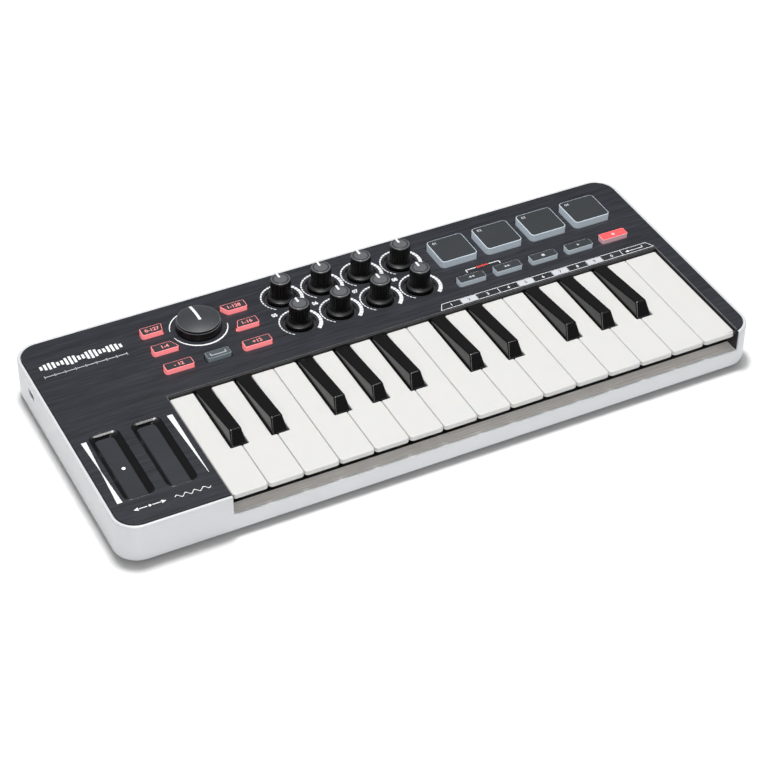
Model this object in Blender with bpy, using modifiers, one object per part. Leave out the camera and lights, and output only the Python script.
"""A slim 25-key MIDI controller keyboard: silver housing, dark brushed panel, fifteen white and ten
black mini keys on one hinge rail, two touch strips, nine knobs, twelve buttons and four pads.

The frame: +X to the player's right, +Y away from the player, +Z up. The origin is the centre of the
footprint, on the surface that the feet rest on. Sizes below are in millimetres.
"""

import math

import bmesh
import bpy
from mathutils import Matrix, Vector

MM = 0.001
GAP = 0.3  # between pieces that meet

# Heights above the surface
FOOT_HEIGHT = 2.5
PANEL_TOP = 23.0
KEY_TOP = 21.6
RIM_TOP = 22.7

# Housing and panel
WIDTH = 328.4
DEPTH = 141.6
CORNER = 12.0
EDGE_ROUND = 1.0
RIM = 1.7  # wall thickness at the rim
WALL = 2.3  # wall thickness below it
LEDGE = 5.0  # how far in the panel's ledge reaches
LEDGE_THICK = 2.3
PANEL_THICK = 2.0
PANEL_BOTTOM = PANEL_TOP - PANEL_THICK
COVER_THICK = 1.8
COVER_RECESS = 0.3
COVER_TOP = FOOT_HEIGHT + COVER_RECESS + COVER_THICK

# Keybed: plan places of keys and panel features are measured from its front left corner
KEYBED_X = -110.2
KEYBED_Y = -68.6
WHITE_PITCH = 17.6
WHITE_COUNT = 15
KEY_GAP = 0.6
KEY_REAR = 72.9
WHITE_LIP = 2.4
WHITE_CORNER = 1.2
BLACK_OFFSETS = (16.5, 36.9, 68.7, 88.3, 108.0)  # centres within an octave of seven white keys
OCTAVE_COUNT = 2
SLOT_WIDTH = 9.0
SLOT_FRONT = 29.6
WELL_SIDE = 0.8
WELL_REAR = 73.3
NOTCH_TOP = 11.6  # the front wall's height below the keys
NOTCH_REAR = 5.0
TRIM_THICK = 1.5  # with the gap under it
TRIM_FRONT = -0.7
TRIM_REAR = 6.0

# Black key
BLACK_WIDTH = 7.8
BLACK_TOP_WIDTH = 5.8
BLACK_REAR_WIDTH = 7.4
BLACK_FRONT = 30.4
BLACK_TOP_FRONT = 33.8
BLACK_RISE = 6.4
BLACK_REAR_RISE = 1.1
BLACK_BOTTOM = 16.0

# Key hinge rail and the chassis that carries it
PIVOT_Y = 90.0
PIVOT_Z = 10.0
BAR_RADIUS = 1.5
HOOK_BORE = 1.9
HOOK_RADIUS = 3.3
WHITE_TAIL_WIDTH = 7.0
BLACK_TAIL_WIDTH = 6.4
TAIL_BOTTOM = 15.0
WHITE_TAIL_FRONT = 8.0
BLACK_TAIL_FRONT = BLACK_FRONT + 2.0
CHASSIS_SIDE = 0.6  # how far past the keys it reaches
CHASSIS_FRONT = 8.0
CHASSIS_REAR = PIVOT_Y + 5.0
CHASSIS_BOTTOM = COVER_TOP + 0.4
CHASSIS_THICK = 1.4
CHASSIS_LIP = NOTCH_TOP - 2.4
RIB_HALF = 0.7
RIB_REACH = 2.2
RIB_PLACES = (3, 7, 10, 14)  # in white keys from the left

# Knobs
KNOB_FIRST = (78.1, 97.5)
KNOB_PITCH = 21.7
KNOB_ROW = 21.5
KNOB_STEM = 2.5
STEM_HOLE = 3.2
DISH_RADIUS = 8.0
DISH_DEPTH = 1.3
SKIRT_BOTTOM = PANEL_TOP - DISH_DEPTH + 0.4
DATA_KNOB = (32.9, 115.2)
DATA_KNOB_BOTTOM = PANEL_TOP + 0.5
# Radius and height, from the top's middle down to the lower edge
KNOB_PROFILE = ((0, 34.6), (4.4, 34.6), (5.0, 34.0), (5.2, 25.4), (6.7, 24.4), (6.9, SKIRT_BOTTOM))
DATA_KNOB_PROFILE = (
    (0, 29.6), (5.0, 29.3), (8.0, 28.85), (10.4, 28.2), (10.8, 27.4), (11.3, DATA_KNOB_BOTTOM)
)

# Buttons and pads
BUTTON_RISE = 2.0
PAD_RISE = 3.3
CAP_CLEARANCE = 0.4
CAP_EDGE = (0.35, 0.5)  # how far in and how far down the sloping top edge goes
FLANGE = 0.9
FLANGE_TOP = PANEL_BOTTOM - 1.2
TRANSPORT_FIRST = 161.3
TRANSPORT_PITCH = 20.35
TRANSPORT_SIZE = (14.4, 5.3)
TRANSPORT_FRONT = 88.2
PAD_FIRST = 160.3
PAD_PITCH = 25.55
PAD_SIZE = (20.0, 18.8)
PAD_FRONT = 105.5
PAD_CORNER = 2.0

# Touch strips: opening at the panel's top, and floor
STRIP_OPENINGS = ((-44.2, 15.9, -29.4, 63.5), (-23.8, 15.8, -9.1, 63.4))
STRIP_SLOPE = (2.6, 1.5)
STRIP_CORNER = 3.4
STRIP_PLATE = (STRIP_OPENINGS[0][0] - 2.0, 12.0, STRIP_OPENINGS[1][2] + 2.0, 65.0)

# Boards
BOARD_THICK = 1.6
BOARD_BOTTOM = 14.4
BOARD_TOP = BOARD_BOTTOM + BOARD_THICK
CONTROL_BOARD = (-158.0, 16.0, 157.0, 64.0)
PLATE_TOP = PANEL_BOTTOM - GAP
PLATE_BOTTOM = PLATE_TOP - BOARD_THICK
CONTACT_BOARD = (20.0, 50.0)
CONTACT_STRIP = (31.0, 40.0)
CONTACT_SIDE = 1.0
CONTACT_BOTTOM = CHASSIS_BOTTOM + CHASSIS_THICK + GAP
CONTACT_STRIP_THICK = 1.7
POT_SIZE = 9.0
POT_TOP = 18.0
SWITCH_SIZE = 4.5
SWITCH_TOP = 17.4
FLANGE_BOTTOM = SWITCH_TOP + 1.2
STEM_BOTTOM = POT_TOP + GAP
SOLDER_DEPTH = 0.8  # how far a soldered block goes into its board

# Computer socket in the left wall
SOCKET_Y = 43.0
SOCKET_Z = 15.7
SOCKET_MOUTH = (7.4, 3.4)
SOCKET_DEPTH = 9.0
SOCKET_SHELL = 0.6
SOCKET_FRONT = -WIDTH / 2 + WALL + GAP + 0.2
TONGUE_HALF = (2.4, 0.5)

FOOT_PLACES = ((-145.0, -55.0), (145.0, -55.0), (-145.0, 55.0), (145.0, 55.0))
FOOT_RADIUS = 7.0
BOARD_POSTS = ((-148.0, 30.0), (-148.0, 58.0), (-20.0, 58.0), (150.0, 32.0), (150.0, 58.0))
PLATE_POSTS = ((-151.0, -52.0), (-121.0, -52.0), (-151.0, -8.0), (-121.0, -8.0))
POST_RADIUS = 2.6

WHITE_NAMES = [f"white_key_{number:02d}" for number in range(1, WHITE_COUNT + 1)]
BLACK_NAMES = [
    f"black_key_{number:02d}" for number in range(1, OCTAVE_COUNT * len(BLACK_OFFSETS) + 1)
]
TRANSPORT_NAMES = ("rewind_button", "forward_button", "stop_button", "play_button", "record_button")
# Corners from front left, anticlockwise; the sides that face the data knob slant to follow it
BUTTON_CORNERS = {
    "control_button": ((5.6, 118.2), (15.6, 118.2), (16.9, 123.8), (5.6, 123.8)),
    "pad_bank_button": ((5.6, 103.7), (18.4, 103.7), (15.5, 109.2), (5.6, 109.2)),
    "program_button": ((49.7, 118.1), (59.9, 118.1), (59.9, 123.5), (47.0, 123.5)),
    "preset_button": ((48.2, 104.2), (60.1, 104.2), (60.1, 109.4), (50.6, 109.4)),
    "octave_down_button": ((5.7, 88.9), (19.8, 88.9), (19.8, 94.1), (5.7, 94.1)),
    "sustain_button": ((26.6, 88.5), (38.6, 88.5), (38.6, 93.6), (26.6, 93.6)),
    "octave_up_button": ((46.0, 88.8), (60.0, 88.8), (60.0, 93.9), (46.0, 93.9)),
}


def clear_scene():
    for obj in list(bpy.data.objects):
        bpy.data.objects.remove(obj, do_unlink=True)


def new_collection(name):
    collection = bpy.data.collections.new(name)
    bpy.context.scene.collection.children.link(collection)
    return collection


def new_material(name, colour, roughness, metallic=0.0):
    material = bpy.data.materials.new(name)
    material.use_nodes = True
    shader = material.node_tree.nodes["Principled BSDF"]
    shader.inputs["Base Color"].default_value = (*colour, 1.0)
    shader.inputs["Roughness"].default_value = roughness
    shader.inputs["Metallic"].default_value = metallic
    return material


def from_keybed(points):
    """Plan points measured from the keybed's front left corner, in the part's own frame."""
    return [(x + KEYBED_X, y + KEYBED_Y) for x, y in points]


def box_outline(x0, y0, x1, y1):
    return [(x0, y0), (x1, y0), (x1, y1), (x0, y1)]


def arc(centre, radius, start, end, steps):
    """Points on an arc between two angles in degrees."""
    angles = [math.radians(start + (end - start) * step / steps) for step in range(steps + 1)]
    return [(centre[0] + radius * math.cos(a), centre[1] + radius * math.sin(a)) for a in angles]


def rounded_outline(x0, y0, x1, y1, radius, steps=4):
    points = arc((x0 + radius, y0 + radius), radius, 180, 270, steps)
    points += arc((x1 - radius, y0 + radius), radius, 270, 360, steps)
    points += arc((x1 - radius, y1 - radius), radius, 0, 90, steps)
    points += arc((x0 + radius, y1 - radius), radius, 90, 180, steps)
    return points


def circle_outline(centre, radius, sides=20):
    return arc(centre, radius, 0, 360 * (sides - 1) / sides, sides - 1)


def grown(outline, amount):
    """An anticlockwise outline with each side moved outwards by the same amount."""
    moved = []
    for before, corner, after in zip(outline[-1:] + outline[:-1], outline, outline[1:] + outline[:1]):
        first = (Vector(corner) - Vector(before)).normalized()
        second = (Vector(after) - Vector(corner)).normalized()
        normals = Vector((first.y, -first.x)) + Vector((second.y, -second.x))
        moved.append(tuple(Vector(corner) + normals * (amount * 2 / normals.length_squared)))
    return moved


def place(mesh, name, collection, material=None, origin=(0, 0, 0)):
    """An object for a mesh in world millimetres, with its origin at a point in millimetres."""
    mesh.transform(Matrix.Scale(MM, 4) @ Matrix.Translation(-Vector(origin)))
    mesh.name = name
    obj = bpy.data.objects.new(name, mesh)
    obj.location = Vector(origin) * MM
    collection.objects.link(obj)
    if material:
        mesh.materials.append(material)
    return obj


def plate_mesh(outlines, bottom, top):
    """A flat plate between two heights, from a filled 2D curve whose inner outlines are holes."""
    curve = bpy.data.curves.new("outline", "CURVE")
    curve.dimensions = "2D"
    curve.fill_mode = "BOTH"
    curve.extrude = (top - bottom) / 2
    for outline in outlines:
        spline = curve.splines.new("POLY")
        spline.points.add(len(outline) - 1)
        for point, (x, y) in zip(spline.points, outline):
            point.co = (x, y, 0, 1)
        spline.use_cyclic_u = True
    guide = bpy.data.objects.new("outline", curve)
    bpy.context.scene.collection.objects.link(guide)
    bpy.context.view_layer.update()
    graph = bpy.context.evaluated_depsgraph_get()
    mesh = bpy.data.meshes.new_from_object(guide.evaluated_get(graph))
    bpy.data.objects.remove(guide)
    bpy.data.curves.remove(curve)
    shaped = bmesh.new()
    shaped.from_mesh(mesh)
    bmesh.ops.remove_doubles(shaped, verts=shaped.verts, dist=0.001)
    bmesh.ops.recalc_face_normals(shaped, faces=shaped.faces)
    shaped.to_mesh(mesh)
    shaped.free()
    mesh.transform(Matrix.Translation((0, 0, (top + bottom) / 2)))
    return mesh


def lofted_mesh(sections):
    """A closed solid through rings of points that match one to one, from the lowest ring up."""
    shaped = bmesh.new()
    rings = [[shaped.verts.new(point) for point in section] for section in sections]
    shaped.faces.new(reversed(rings[0]))
    shaped.faces.new(rings[-1])
    for lower, upper in zip(rings, rings[1:]):
        for side in range(len(lower)):
            after = (side + 1) % len(lower)
            shaped.faces.new((lower[side], lower[after], upper[after], upper[side]))
    mesh = bpy.data.meshes.new("loft")
    shaped.to_mesh(mesh)
    shaped.free()
    return mesh


def level(outline, height):
    return [(x, y, height) for x, y in outline]


def merged(meshes):
    """One mesh that holds several separate solids, for a cutter or for pieces to be joined."""
    shaped = bmesh.new()
    for mesh in meshes:
        shaped.from_mesh(mesh)
        bpy.data.meshes.remove(mesh)
    mesh = bpy.data.meshes.new("merged")
    shaped.to_mesh(mesh)
    shaped.free()
    return mesh


def apply_shape(obj, meshes, operation, cutters):
    """Cuts solids out of an object, or joins them to it, with a Boolean that stays on the object."""
    tool = place(merged(meshes), f"{obj.name}_{operation.lower()}", cutters)
    tool.hide_render = True
    tool.display_type = "WIRE"
    boolean = obj.modifiers.new(operation.title(), "BOOLEAN")
    boolean.operation = operation
    boolean.object = tool


def shade_round(obj):
    obj.data.shade_smooth()
    obj.data.set_sharp_from_angle(angle=math.radians(35))


def white_spans():
    """Left and right edges of each white key's full width and of its neck between black keys."""
    spans = []
    slots = [(centre - SLOT_WIDTH / 2, centre + SLOT_WIDTH / 2) for centre in black_centres()]
    for index in range(WHITE_COUNT):
        left = index * WHITE_PITCH + KEY_GAP / 2
        right = (index + 1) * WHITE_PITCH - KEY_GAP / 2
        neck_left = max([left] + [high for low, high in slots if low < left < high])
        neck_right = min([right] + [low for low, high in slots if low < right < high])
        spans.append((left, right, neck_left, neck_right))
    return spans


def black_centres():
    octave = 7 * WHITE_PITCH
    return [number * octave + offset for number in range(OCTAVE_COUNT) for offset in BLACK_OFFSETS]


def knob_centres():
    """The small knobs' places: four in the front row, then four in the rear row."""
    x, y = KNOB_FIRST
    return [(x + KNOB_PITCH * column, y + KNOB_ROW * row) for row in range(2) for column in range(4)]


def cap_outlines():
    """The plan outline of every button and pad, by name."""
    caps = dict(BUTTON_CORNERS)
    width, depth = TRANSPORT_SIZE
    for number, name in enumerate(TRANSPORT_NAMES):
        left = TRANSPORT_FIRST + TRANSPORT_PITCH * number
        caps[name] = box_outline(left, TRANSPORT_FRONT, left + width, TRANSPORT_FRONT + depth)
    width, depth = PAD_SIZE
    for number in range(4):
        left = PAD_FIRST + PAD_PITCH * number
        right, rear = left + width, PAD_FRONT + depth
        caps[f"drum_pad_{number + 1}"] = rounded_outline(left, PAD_FRONT, right, rear, PAD_CORNER, 3)
    return {name: from_keybed(outline) for name, outline in caps.items()}


def inset_box(inset, corner, steps=6):
    x, y = WIDTH / 2 - inset, DEPTH / 2 - inset
    return rounded_outline(-x, -y, x, y, corner - inset, steps)


def well_box(side, rear, front=-6.0):
    """The key well's outline, wider or deeper by the amounts given."""
    width = WHITE_COUNT * WHITE_PITCH
    return from_keybed(box_outline(-side, front, width + side, rear))


def build_housing(parts, cutters, material):
    mesh = plate_mesh([inset_box(0, CORNER)], FOOT_HEIGHT, RIM_TOP)
    housing = place(mesh, "housing", parts, material)
    edges = housing.modifiers.new("Rounded edges", "BEVEL")
    edges.width = EDGE_ROUND * MM
    edges.segments = 2
    edges.limit_method = "ANGLE"
    edges.angle_limit = math.radians(60)
    ledge_bottom = PANEL_BOTTOM - LEDGE_THICK
    mouth, height = SOCKET_MOUTH
    socket = box_outline(-WIDTH / 2 - 2, SOCKET_Y - mouth / 2, -WIDTH / 2 + 6, SOCKET_Y + mouth / 2)
    inside = [
        plate_mesh([inset_box(WALL, CORNER)], FOOT_HEIGHT - 2, ledge_bottom),
        plate_mesh([inset_box(LEDGE, CORNER)], ledge_bottom - 1, PANEL_TOP),
    ]
    recess = plate_mesh([inset_box(RIM, CORNER)], PANEL_BOTTOM - GAP, PANEL_TOP + 2)
    front = plate_mesh([well_box(WELL_SIDE, NOTCH_REAR)], NOTCH_TOP, PANEL_TOP + 3)
    shelf_edge = well_box(WELL_SIDE - 0.1, TRIM_REAR, TRIM_FRONT)
    shelf = plate_mesh([shelf_edge], NOTCH_TOP - TRIM_THICK, NOTCH_TOP + 1)
    slot = plate_mesh([socket], SOCKET_Z - height / 2, SOCKET_Z + height / 2)
    for mesh in (*inside, recess, front, shelf, slot):
        apply_shape(housing, [mesh], "DIFFERENCE", cutters)
    shade_round(housing)


def strip_recess(opening):
    """The sloping recess of one touch strip, through the panel."""
    x0, y0, x1, y1 = opening
    side, end = STRIP_SLOPE
    bottom = PANEL_BOTTOM
    floor = rounded_outline(x0 + side, y0 + end, x1 - side, y1 - end, STRIP_CORNER - end, 3)
    mouth = rounded_outline(x0, y0, x1, y1, STRIP_CORNER, 3)
    rings = ((floor, bottom - 1), (floor, bottom), (mouth, PANEL_TOP - 0.1), (mouth, PANEL_TOP + 1))
    return lofted_mesh([level(from_keybed(outline), height) for outline, height in rings])


def build_top_panel(parts, cutters, material):
    bottom = PANEL_BOTTOM
    edge = inset_box(RIM + GAP, CORNER)
    panel = place(plate_mesh([edge], bottom, PANEL_TOP), "top_panel", parts, material)
    holes = [plate_mesh([well_box(WELL_SIDE, WELL_REAR)], bottom - 1, PANEL_TOP + 1)]
    for centre in from_keybed(knob_centres()):
        edge = circle_outline(centre, DISH_RADIUS, 24)
        dish = plate_mesh([edge], PANEL_TOP - DISH_DEPTH, PANEL_TOP + 1)
        apply_shape(panel, [dish], "DIFFERENCE", cutters)
        holes.append(plate_mesh([circle_outline(centre, STEM_HOLE, 12)], bottom - 1, PANEL_TOP + 1))
    data = from_keybed([DATA_KNOB])[0]
    holes.append(plate_mesh([circle_outline(data, STEM_HOLE, 12)], bottom - 1, PANEL_TOP + 1))
    for outline in cap_outlines().values():
        holes.append(plate_mesh([grown(outline, CAP_CLEARANCE)], bottom - 1, PANEL_TOP + 1))
    holes += [strip_recess(opening) for opening in STRIP_OPENINGS]
    apply_shape(panel, holes, "DIFFERENCE", cutters)
    shade_round(panel)


def build_bottom_cover(parts, cutters, material):
    bottom = COVER_TOP - COVER_THICK
    mesh = plate_mesh([inset_box(WALL + GAP, CORNER)], bottom, COVER_TOP)
    cover = place(mesh, "bottom_cover", parts, material)
    feet = [circle_outline(spot, FOOT_RADIUS) for spot in FOOT_PLACES]
    solids = [plate_mesh([foot], 0, bottom + 1) for foot in feet]
    for spots, height in ((BOARD_POSTS, BOARD_BOTTOM), (PLATE_POSTS, PLATE_BOTTOM)):
        posts = [circle_outline(spot, POST_RADIUS, 10) for spot in spots]
        solids += [plate_mesh([post], COVER_TOP - 1, height - GAP) for post in posts]
    apply_shape(cover, solids, "UNION", cutters)
    shade_round(cover)


def build_touch_strip_plate(parts, material):
    outline = from_keybed(box_outline(*STRIP_PLATE))
    mesh = plate_mesh([outline], PLATE_BOTTOM, PLATE_TOP)
    place(mesh, "touch_strip_plate", parts, material)


def build_key_chassis(parts, cutters, material):
    width = WHITE_COUNT * WHITE_PITCH
    left, right = -CHASSIS_SIDE, width + CHASSIS_SIDE
    floor = from_keybed(box_outline(left, CHASSIS_FRONT, right, CHASSIS_REAR))
    floor_top = CHASSIS_BOTTOM + CHASSIS_THICK
    mesh = plate_mesh([floor], CHASSIS_BOTTOM, floor_top)
    chassis = place(mesh, "key_chassis", parts, material)
    centres = [left + RIB_HALF, *(count * WHITE_PITCH for count in RIB_PLACES), right - RIB_HALF]
    near, far = PIVOT_Y - RIB_REACH, PIVOT_Y + RIB_REACH
    ribs = [box_outline(x - RIB_HALF, near, x + RIB_HALF, far) for x in centres]
    solids = [plate_mesh([from_keybed(rib)], floor_top - 0.7, PIVOT_Z + 2.0) for rib in ribs]
    lip = from_keybed(box_outline(left, CHASSIS_FRONT, right, CHASSIS_FRONT + CHASSIS_THICK))
    solids.append(plate_mesh([lip], floor_top - 0.7, CHASSIS_LIP))
    bar = plate_mesh([circle_outline((0, 0), BAR_RADIUS, 12)], -width / 2, width / 2)
    centre = Vector((KEYBED_X + width / 2, KEYBED_Y + PIVOT_Y, PIVOT_Z))
    bar.transform(Matrix.Translation(centre) @ Matrix.Rotation(math.pi / 2, 4, "Y"))
    solids.append(bar)
    apply_shape(chassis, solids, "UNION", cutters)
    shade_round(chassis)


def build_key_contacts(parts, board_material, rubber):
    left, right = CONTACT_SIDE, WHITE_COUNT * WHITE_PITCH - CONTACT_SIDE
    board = from_keybed(box_outline(left, CONTACT_BOARD[0], right, CONTACT_BOARD[1]))
    top = CONTACT_BOTTOM + BOARD_THICK
    mesh = plate_mesh([board], CONTACT_BOTTOM, top)
    place(mesh, "key_contact_board", parts, board_material)
    strip = from_keybed(box_outline(left + 0.5, CONTACT_STRIP[0], right - 0.5, CONTACT_STRIP[1]))
    mesh = plate_mesh([strip], top + GAP, top + GAP + CONTACT_STRIP_THICK)
    place(mesh, "key_contact_strip", parts, rubber)


def build_front_trim(parts, material):
    outline = well_box(WELL_SIDE - 0.1 - GAP, TRIM_REAR, TRIM_FRONT + GAP)
    mesh = plate_mesh([outline], NOTCH_TOP - TRIM_THICK + GAP, NOTCH_TOP)
    place(mesh, "front_trim_strip", parts, material)


def middle(outline):
    return tuple(sum(values) / len(outline) for values in zip(*outline))


def soldered_block(centre, size, top):
    """A square component that stands on the control board."""
    (x, y), half = centre, size / 2
    outline = box_outline(x - half, y - half, x + half, y + half)
    return plate_mesh([outline], BOARD_TOP - SOLDER_DEPTH, top)


def build_control_board(parts, cutters, material):
    mesh = plate_mesh([box_outline(*CONTROL_BOARD)], BOARD_BOTTOM, BOARD_TOP)
    board = place(mesh, "control_board", parts, material)
    reach = SOCKET_MOUTH[0] / 2 + SOCKET_SHELL + GAP
    end = SOCKET_FRONT + SOCKET_DEPTH + GAP
    notch = box_outline(CONTROL_BOARD[0] - 2, SOCKET_Y - reach, end, SOCKET_Y + reach)
    apply_shape(board, [plate_mesh([notch], BOARD_BOTTOM - 1, BOARD_TOP + 1)], "DIFFERENCE", cutters)
    turned = from_keybed([*knob_centres(), DATA_KNOB])
    solids = [soldered_block(centre, POT_SIZE, POT_TOP) for centre in turned]
    for outline in cap_outlines().values():
        solids.append(soldered_block(middle(outline), SWITCH_SIZE, SWITCH_TOP))
    apply_shape(board, solids, "UNION", cutters)


def build_usb_socket(parts, cutters, material):
    """A metal shell behind the slot in the left wall, open towards -X."""
    mouth, height = SOCKET_MOUTH
    end = SOCKET_FRONT + SOCKET_DEPTH
    half = mouth / 2 + SOCKET_SHELL
    outer = box_outline(SOCKET_FRONT, SOCKET_Y - half, end, SOCKET_Y + half)
    inner = box_outline(SOCKET_FRONT - 1, SOCKET_Y - mouth / 2, end - 1, SOCKET_Y + mouth / 2)
    low, high = SOCKET_Z - height / 2, SOCKET_Z + height / 2
    mesh = plate_mesh([outer], low - SOCKET_SHELL, high + SOCKET_SHELL)
    socket = place(mesh, "usb_socket", parts, material)
    side, thick = TONGUE_HALF
    tongue = box_outline(SOCKET_FRONT, SOCKET_Y - side, end - 0.5, SOCKET_Y + side)
    apply_shape(socket, [plate_mesh([inner], low, high)], "DIFFERENCE", cutters)
    solid = plate_mesh([tongue], SOCKET_Z - thick, SOCKET_Z + thick)
    apply_shape(socket, [solid], "UNION", cutters)


def tail_mesh(left, right, front, top):
    """A key's arm: a side profile with a snap-on hook round the hinge bar, as thick as its width."""
    pivot_y, pivot_z = KEYBED_Y + PIVOT_Y, PIVOT_Z
    low_top, low_bottom = HOOK_RADIUS, -1.8
    knee, foot = -17.9, -12.9
    start = 180 - math.degrees(math.asin(low_bottom / HOOK_RADIUS))
    profile = [(front - PIVOT_Y, TAIL_BOTTOM - pivot_z), (knee - 3.0, TAIL_BOTTOM - pivot_z)]
    profile.append((foot - 2.5, low_bottom))
    profile += arc((0, 0), HOOK_RADIUS, start, 250, 2)
    profile += arc((0, 0), HOOK_BORE, 250, -50, 9)
    profile += arc((0, 0), HOOK_RADIUS, -50, 90, 5)
    profile += [(foot, low_top), (knee, top - pivot_z), (front - PIVOT_Y, top - pivot_z)]
    mesh = plate_mesh([profile], KEYBED_X + left, KEYBED_X + right)
    turn = Matrix(((0, 0, 1, 0), (1, 0, 0, pivot_y), (0, 1, 0, pivot_z), (0, 0, 0, 1)))
    mesh.transform(turn)
    return mesh


def build_white_keys(parts, cutters, material):
    for name, (left, right, neck_left, neck_right) in zip(WHITE_NAMES, white_spans()):
        centre = (neck_left + neck_right) / 2
        half = WHITE_TAIL_WIDTH / 2
        plan = arc((left + WHITE_CORNER, WHITE_CORNER), WHITE_CORNER, 180, 270, 3)
        plan += arc((right - WHITE_CORNER, WHITE_CORNER), WHITE_CORNER, 270, 360, 3)
        if neck_right < right:
            plan += [(right, SLOT_FRONT), (neck_right, SLOT_FRONT)]
        plan += [(neck_right, KEY_REAR), (neck_left, KEY_REAR)]
        if neck_left > left:
            plan += [(neck_left, SLOT_FRONT), (left, SLOT_FRONT)]
        tail_top = KEY_TOP - WHITE_LIP + 0.6
        tail = tail_mesh(centre - half, centre + half, WHITE_TAIL_FRONT, tail_top)
        origin = (KEYBED_X + centre, KEYBED_Y + PIVOT_Y, PIVOT_Z)
        key = place(tail, name, parts, material, origin)
        top = plate_mesh([from_keybed(plan)], KEY_TOP - WHITE_LIP, KEY_TOP)
        apply_shape(key, [top], "UNION", cutters)
        shade_round(key)


def build_black_keys(parts, cutters, material):
    for name, centre in zip(BLACK_NAMES, black_centres()):
        half = BLACK_TAIL_WIDTH / 2
        tail = tail_mesh(centre - half, centre + half, BLACK_TAIL_FRONT, BLACK_BOTTOM + 1.0)
        origin = (KEYBED_X + centre, KEYBED_Y + PIVOT_Y, PIVOT_Z)
        key = place(tail, name, parts, material, origin)
        rings = []
        for height in (BLACK_BOTTOM, KEY_TOP):
            side = BLACK_WIDTH / 2
            outline = box_outline(centre - side, BLACK_FRONT, centre + side, KEY_REAR)
            rings.append(level(from_keybed(outline), height))
        front, rear = BLACK_TOP_WIDTH / 2, BLACK_REAR_WIDTH / 2
        crown = [(centre - front, BLACK_TOP_FRONT), (centre + front, BLACK_TOP_FRONT)]
        crown += [(centre + rear, KEY_REAR), (centre - rear, KEY_REAR)]
        rises = (BLACK_RISE, BLACK_RISE, BLACK_REAR_RISE, BLACK_REAR_RISE)
        rings.append([(x, y, KEY_TOP + rise) for (x, y), rise in zip(from_keybed(crown), rises)])
        apply_shape(key, [lofted_mesh(rings)], "UNION", cutters)


def build_turned(name, centre, profile, steps, parts, material):
    """A knob turned about its own vertical axis, from a profile of radius and height."""
    mesh = bpy.data.meshes.new(name)
    points = [(radius, 0, height) for radius, height in profile]
    edges = [(index, index + 1) for index in range(len(points) - 1)]
    mesh.from_pydata(points, edges, [])
    (x, y), = from_keybed([centre])
    mesh.transform(Matrix.Translation((x, y, 0)))
    knob = place(mesh, name, parts, material, (x, y, PANEL_TOP))
    screw = knob.modifiers.new("Turned", "SCREW")
    screw.steps = steps
    screw.render_steps = steps
    screw.use_merge_vertices = True
    screw.merge_threshold = 0.00001
    shade_round(knob)


def with_stem(profile):
    """A knob's profile carried on under its lower edge and down its stem."""
    return [*profile, (KNOB_STEM, profile[-1][1]), (KNOB_STEM, STEM_BOTTOM), (0, STEM_BOTTOM)]


def build_knobs(parts, small_material, data_material):
    small = with_stem(KNOB_PROFILE)
    for number, centre in enumerate(knob_centres()):
        build_turned(f"control_knob_{number + 1}", centre, small, 20, parts, small_material)
    data = with_stem(DATA_KNOB_PROFILE)
    build_turned("data_knob", DATA_KNOB, data, 40, parts, data_material)


def build_caps(parts, materials):
    """Buttons and pads: each cap stands through the panel, with a flange that keeps it in."""
    inset, drop = CAP_EDGE
    for name, outline in cap_outlines().items():
        top = PANEL_TOP + (PAD_RISE if name.startswith("drum_pad") else BUTTON_RISE)
        flange = grown(outline, FLANGE)
        rings = [level(flange, FLANGE_BOTTOM), level(flange, FLANGE_TOP)]
        rings += [level(outline, FLANGE_TOP), level(outline, top - drop)]
        rings.append(level(grown(outline, -inset), top))
        material = materials.get(name, materials["lit"])
        place(lofted_mesh(rings), name, parts, material, (*middle(outline), PANEL_TOP))


def main():
    clear_scene()
    parts = new_collection("midi_keyboard")
    cutters = new_collection("cutters")
    silver = new_material("silver housing", (0.70, 0.72, 0.73), 0.35, 0.4)
    panel = new_material("brushed panel", (0.045, 0.047, 0.052), 0.45, 0.3)
    dark = new_material("dark plastic", (0.03, 0.03, 0.032), 0.5)
    trim = new_material("brushed trim", (0.33, 0.30, 0.27), 0.4, 0.7)
    strip = new_material("touch strip", (0.05, 0.055, 0.06), 0.4)
    board = new_material("circuit board", (0.02, 0.16, 0.07), 0.5)
    rubber = new_material("contact rubber", (0.25, 0.25, 0.26), 0.8)
    metal = new_material("socket metal", (0.6, 0.6, 0.6), 0.3, 1.0)
    white = new_material("white key", (0.86, 0.86, 0.84), 0.3)
    black = new_material("black key", (0.012, 0.012, 0.013), 0.2)
    knob = new_material("knob", (0.02, 0.02, 0.022), 0.5)
    data_knob = new_material("data knob", (0.03, 0.03, 0.033), 0.4)
    lit_red = new_material("lit red cap", (0.9, 0.22, 0.24), 0.35)
    blue_grey = new_material("blue grey cap", (0.33, 0.40, 0.46), 0.35)
    record_red = new_material("record cap", (0.95, 0.15, 0.14), 0.35)
    build_housing(parts, cutters, silver)
    build_top_panel(parts, cutters, panel)
    build_bottom_cover(parts, cutters, dark)
    build_touch_strip_plate(parts, strip)
    build_key_chassis(parts, cutters, dark)
    build_key_contacts(parts, board, rubber)
    build_front_trim(parts, trim)
    build_control_board(parts, cutters, board)
    build_usb_socket(parts, cutters, metal)
    build_white_keys(parts, cutters, white)
    build_black_keys(parts, cutters, black)
    build_knobs(parts, knob, data_knob)
    blue_names = ("sustain_button", *TRANSPORT_NAMES[:-1], *(f"drum_pad_{n}" for n in range(1, 5)))
    cap_materials = {"lit": lit_red, "record_button": record_red}
    cap_materials.update({name: blue_grey for name in blue_names})
    build_caps(parts, cap_materials)


main()
